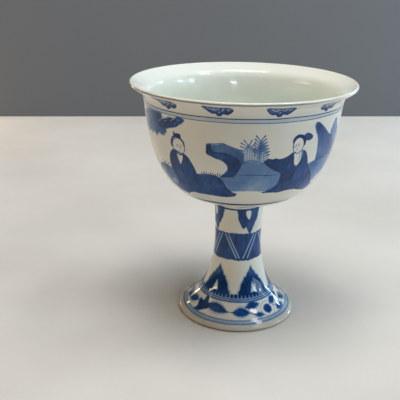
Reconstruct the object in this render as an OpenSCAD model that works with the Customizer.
// Porcelain stem cup: a thin bell-shaped bowl with an everted lip, luted with slip to a hollow
// stem that spreads into a foot, under a coat of glaze that stops short of the standing ring.
// Millimetres, +Z up. The origin is the centre of the ring that the foot stands on.

/* [Bowl] */
// Height of the whole cup, from the standing ring to the top of the lip
cup_h = 88; // [82:0.5:110]
// Diameter over the everted lip
lip_d = 79.4; // [75:0.2:95]
// Thickness of the lip at its rounded edge
lip_t = 1.3; // [1:0.1:2.2]
// Rise of the lip above level where it ends, in degrees
lip_angle = 38; // [15:1:65]
// Height of the flared lip
flare_h = 6; // [4:0.5:9]
// Diameter of the neck, where the wall turns out into the lip
neck_d = 70.2; // [66:0.2:74]
// Thickness of the wall at the neck
neck_t = 2; // [1.4:0.1:3]
// Diameter of the shoulder, where the round base turns into the wall
shoulder_d = 64.2; // [58:0.2:68]
// Height of the shoulder above the joint with the stem
shoulder_h = 20; // [15:0.5:25]
// Steepness of the wall at the shoulder, in degrees
shoulder_angle = 73; // [60:1:85]
// Thickness of the wall at the shoulder
shoulder_t = 2.5; // [1.6:0.1:4]
// Rise of the bowl's underside at the joint, in degrees
base_angle = 12; // [5:1:25]
// Thickness of the floor over the joint
floor_t = 4.6; // [3:0.2:7]

/* [Stem] */
// Height of the underside of the bowl, where the stem joins it
joint_h = 44.8; // [40:0.2:50]
// Diameter of the stem under the joint
stem_top_d = 17.9; // [16:0.1:22]
// Diameter of the stem at its waist
waist_d = 17.3; // [15:0.1:20]
// Height of the waist
waist_h = 29; // [22:0.5:34]
// Diameter of the hollow inside the stem
bore_d = 10.6; // [7:0.2:12]
// Height at which the hollow starts to spread
bore_spread_h = 24; // [16:0.5:30]
// Thickness of the slip that lutes the stem to the bowl
slip_t = 1; // [0.6:0.1:1.6]
// Width that the slip spreads outside the stem as a fillet
slip_fillet = 1.6; // [0.8:0.1:2.5]

/* [Foot] */
// Diameter over the foot
foot_d = 44.2; // [40:0.2:52]
// Radius of the foot's rounded edge
edge_r = 1; // [0.7:0.1:1.6]
// Slope of the foot's upper side at the edge, in degrees
foot_slope = 24; // [12:1:40]
// Width of the flat ring that the foot stands on
ring_w = 2.2; // [1.4:0.1:3.5]
// Width of the bare chamfer inside the standing ring
chamfer_w = 0.6; // [0.3:0.1:1.2]
// Height of the bare chamfer inside the standing ring
chamfer_h = 1; // [0.5:0.1:1.6]
// Rise of the hollow where it opens at the foot, in degrees
mouth_angle = 30; // [15:1:50]

/* [Glaze] */
// Thickness of the glaze
glaze_t = 0.25; // [0.1:0.05:0.4]
// Angle below level at which the glaze stops on the foot's edge, in degrees
glaze_stop = 8; // [0:1:20]

/* [Hidden] */
$fn = 96;

porcelain = "whitesmoke";
glaze_white = "aliceblue";
slip_white = "linen";

// Straight stretches that stand for one curve
curve_steps = 12;
// Lengths of the curves' handles, as shares of their chords
even_pull = 1 / 3;
round_pull = 0.45;
lip_pull = 0.5;
foot_pull = 0.28;

// Points of the outline, each as [distance from the axis, height]
joint = [stem_top_d / 2 + slip_fillet, joint_h];
shoulder = [shoulder_d / 2, joint_h + shoulder_h];
neck = [neck_d / 2, cup_h - flare_h];
wall_angle = atan2(neck.y - shoulder.y, neck.x - shoulder.x);
lip_centre = [lip_d / 2, cup_h] - [lip_t, lip_t] / 2;
lip_side = right_of(heading(lip_angle)) * lip_t / 2;
inner_neck = neck - neck_t * right_of(heading(wall_angle));
inner_shoulder = shoulder - shoulder_t * right_of(heading(shoulder_angle));
inner_floor = [0, joint_h + floor_t];

pad = joint - glaze_t * right_of(heading(base_angle));
slip_h = pad.y - slip_t;
stem_top = [stem_top_d / 2, slip_h];
waist = [waist_d / 2, waist_h];
edge_centre = [foot_d / 2 - edge_r, edge_r - glaze_t];
foot_top = edge_centre + edge_r * heading(90 - foot_slope);

ceiling = pad.y - glaze_t;
bore = [bore_d / 2, bore_spread_h];
ring_inner = [edge_centre.x - ring_w, 0];
mouth = ring_inner + [-chamfer_w, chamfer_h] + glaze_t * right_of(heading(-mouth_angle));

// Curves: the outside of the solid lies to the right of each, from its start to its end
base_curve = blend(joint, base_angle, shoulder, shoulder_angle, round_pull, round_pull);
wall_curve = blend(shoulder, shoulder_angle, neck, wall_angle, even_pull, even_pull);
lip_curve = blend(neck, wall_angle, lip_centre + lip_side, lip_angle, lip_pull, lip_pull);
inner_lip_curve = blend(
    lip_centre - lip_side, lip_angle + 180, inner_neck, wall_angle + 180, lip_pull, lip_pull);
inner_wall_curve = blend(
    inner_neck, wall_angle + 180, inner_shoulder, shoulder_angle + 180, even_pull, even_pull);
inner_base_curve = blend(
    inner_shoulder, shoulder_angle + 180, inner_floor, 180, round_pull, round_pull);
foot_curve = blend(foot_top, 180 - foot_slope, waist, 90, foot_pull, round_pull);
shaft_curve = blend(waist, 90, stem_top, 90, even_pull, even_pull);
fillet_curve = blend(stem_top, 90, joint, base_angle, lip_pull, lip_pull);
bore_curve = blend(bore, -90, mouth, -mouth_angle, round_pull, even_pull);

function heading(angle) = [cos(angle), sin(angle)];
function right_of(way) = [way.y, -way.x];

// A cubic curve that leaves p on heading a and reaches q on heading b
function blend(p, a, q, b, pull_p, pull_q) =
    let (chord = norm(q - p))
    [p, p + pull_p * chord * heading(a), q - pull_q * chord * heading(b), q];

function on_curve(c, t) =
    pow(1 - t, 3) * c[0] + 3 * t * pow(1 - t, 2) * c[1] + 3 * t * t * (1 - t) * c[2] + pow(t, 3) * c[3];

function way_along(c, t) =
    let (d = pow(1 - t, 2) * (c[1] - c[0]) + 2 * t * (1 - t) * (c[2] - c[1]) + t * t * (c[3] - c[2]))
    d / norm(d);

// Points along a curve, moved into the solid by inset
function along(c, inset) = [
    for (i = [0:curve_steps])
        let (t = i / curve_steps)
        on_curve(c, t) - inset * right_of(way_along(c, t))
];

function arc(centre, r, a, b) =
    [for (i = [0:curve_steps]) centre + r * heading(a + (b - a) * i / curve_steps)];

// Joins runs of points that start where the one before ends
function joined(runs) =
    [for (k = [0:len(runs) - 1]) for (i = [(k == 0 ? 0 : 1):len(runs[k]) - 1]) runs[k][i]];

function backwards(points) = [for (i = [len(points) - 1:-1:0]) points[i]];

// The bowl from the joint, up outside, over the lip and down inside to the axis
function bowl_skin(inset) = joined([
    along(base_curve, inset),
    along(wall_curve, inset),
    along(lip_curve, inset),
    arc(lip_centre, lip_t / 2 - inset, lip_angle - 90, lip_angle + 90),
    along(inner_lip_curve, inset),
    along(inner_wall_curve, inset),
    along(inner_base_curve, inset)
]);

// The foot and stem from an angle below level on the foot's edge up to the slip
function stem_skin(inset, below) = joined([
    arc(edge_centre, edge_r - inset, -below, 90 - foot_slope),
    along(foot_curve, inset),
    along(shaft_curve, inset)
]);

// The hollow of the stem from below the slip down to the bare chamfer
function bore_skin(inset) = along(bore_curve, inset);

module revolve(points) {
    rotate_extrude() polygon(points);
}

// A coat as thick as the glaze between a skin and the same skin moved into the solid
module coat(skin, skin_under) {
    revolve(concat(skin, backwards(skin_under)));
}

module bowl() {
    color(porcelain) revolve(concat(bowl_skin(glaze_t), [[0, pad.y]]));
}

module luting_slip() {
    bore_r = bore.x + glaze_t;
    color(slip_white) revolve(concat(along(fillet_curve, glaze_t), [[bore_r, pad.y], [bore_r, slip_h]]));
}

module stem_foot() {
    outside = stem_skin(glaze_t, 90);
    bore_top = [bore.x + glaze_t, slip_h];
    color(porcelain) revolve(concat(outside, [bore_top], bore_skin(glaze_t), [ring_inner]));
}

module bowl_glaze() {
    color(glaze_white) coat(bowl_skin(0), bowl_skin(glaze_t));
}

module stem_glaze() {
    outside = joined([stem_skin(0, glaze_stop), along(fillet_curve, 0)]);
    under = joined([stem_skin(glaze_t, glaze_stop), along(fillet_curve, glaze_t)]);
    color(glaze_white) coat(outside, under);
}

module bore_glaze() {
    inside = concat([[0, ceiling], [bore.x, ceiling]], bore_skin(0));
    under = concat([[0, pad.y], [bore.x + glaze_t, pad.y]], bore_skin(glaze_t));
    color(glaze_white) coat(inside, under);
}

bowl();
luting_slip();
stem_foot();
bowl_glaze();
stem_glaze();
bore_glaze();
